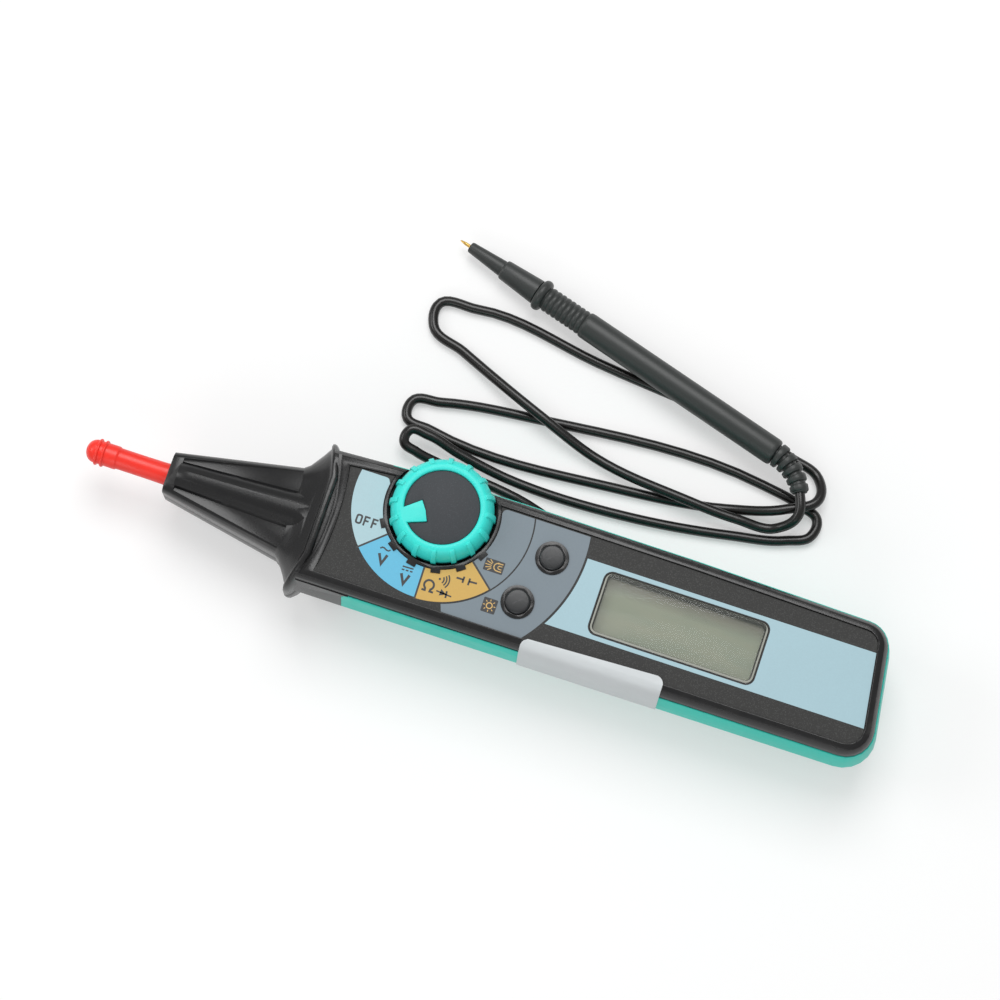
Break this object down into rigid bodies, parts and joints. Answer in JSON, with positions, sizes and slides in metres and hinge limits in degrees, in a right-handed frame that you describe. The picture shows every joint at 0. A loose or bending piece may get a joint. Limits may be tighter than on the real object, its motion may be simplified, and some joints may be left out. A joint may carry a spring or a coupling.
{
  "type": "pen multimeter",
  "caption": "Pen-shaped digital multimeter with a ribbed selector knob, display, push buttons, capped probe pin, and a fixed coiled lead ending in a second capped probe.",
  "frame": {"origin": "on the flat back of the case, on the nose's centreline, level with the knob's axis", "axes": "+X from the nose along the case to the tail, +Y across it towards the side that the knob overhangs and the lead leaves, +Z out of the panel"},
  "size_m": [0.2004, 0.0995, 0.0313],
  "materials": {
    "case_black": "fine spark texture",
    "grip_teal": "satin",
    "panel_print": "printed, fine grain",
    "clear_window": "clear, polished",
    "display_glass": "grey-green, smooth",
    "frame_white": "moulded",
    "strip_pink": "matt",
    "board_green": "solder mask",
    "chip_black": "moulded",
    "knob_teal": "satin",
    "disc_grey": "fine texture",
    "brass": "gilt",
    "steel": "bright",
    "button_black": "satin",
    "cap_red": "soft vinyl",
    "lamp_clear": "clear epoxy",
    "sticker_white": "matt",
    "lead_black": "soft satin",
    "probe_black": "satin"
  },
  "bodies": {
    "meter": {"front_shell": "case_black", "rear_shell": "case_black", "rear_grip": "grip_teal", "panel_label": "panel_print", "lcd_window": "clear_window", "lcd_glass": "display_glass", "lcd_holder": "frame_white", "lcd_backlight": "frame_white", "zebra_strips": "strip_pink", "circuit_board": "board_green", "board_components": "chip_black", "tact_switches": "chip_black", "buzzer": "chip_black", "probe_pin": "steel", "pin_contact": "brass", "torch_led": "lamp_clear", "battery_holder": "chip_black", "button_cells": "steel", "battery_contacts": "brass", "battery_cover": "grip_teal", "cover_screw": "steel", "case_screws": "steel", "side_label": "sticker_white", "lead_grommet": "lead_black", "test_lead": "lead_black", "probe_strain_relief": "lead_black", "lead_probe": "probe_black", "probe_needle": "brass"},
    "knob": {"knob_ring": "knob_teal", "knob_disc": "disc_grey", "switch_rotor": "frame_white", "wiper_contacts": "brass", "detent_balls": "steel", "detent_springs": "steel"},
    "select_key": {"select_button": "button_black"},
    "hold_key": {"hold_button": "button_black"},
    "pin_cap": {"tip_cap": "cap_red"},
    "probe_cap": {"needle_cap": "probe_black"}
  },
  "joints": [
    {"name": "knob_turn", "type": "hinge", "parent": "meter", "child": "knob", "pos_m": [0, 0.01, 0.0236], "axis": [0, 0, 1], "range_deg": [0, 120]},
    {"name": "select_press", "type": "slide", "parent": "meter", "child": "select_key", "axis": [0, 0, -1], "range_m": [0, 0.0004], "stiffness_N_per_m": 500},
    {"name": "hold_press", "type": "slide", "parent": "meter", "child": "hold_key", "axis": [0, 0, -1], "range_m": [0, 0.0004], "stiffness_N_per_m": 500},
    {"name": "tip_cap_pull", "type": "slide", "parent": "meter", "child": "pin_cap", "axis": [-1, 0, 0], "range_m": [0, 0.024]},
    {"name": "needle_cap_pull", "type": "slide", "parent": "meter", "child": "probe_cap", "axis": [-0.955, 0.2938, -0.0401], "range_m": [0, 0.024]}
  ]
}
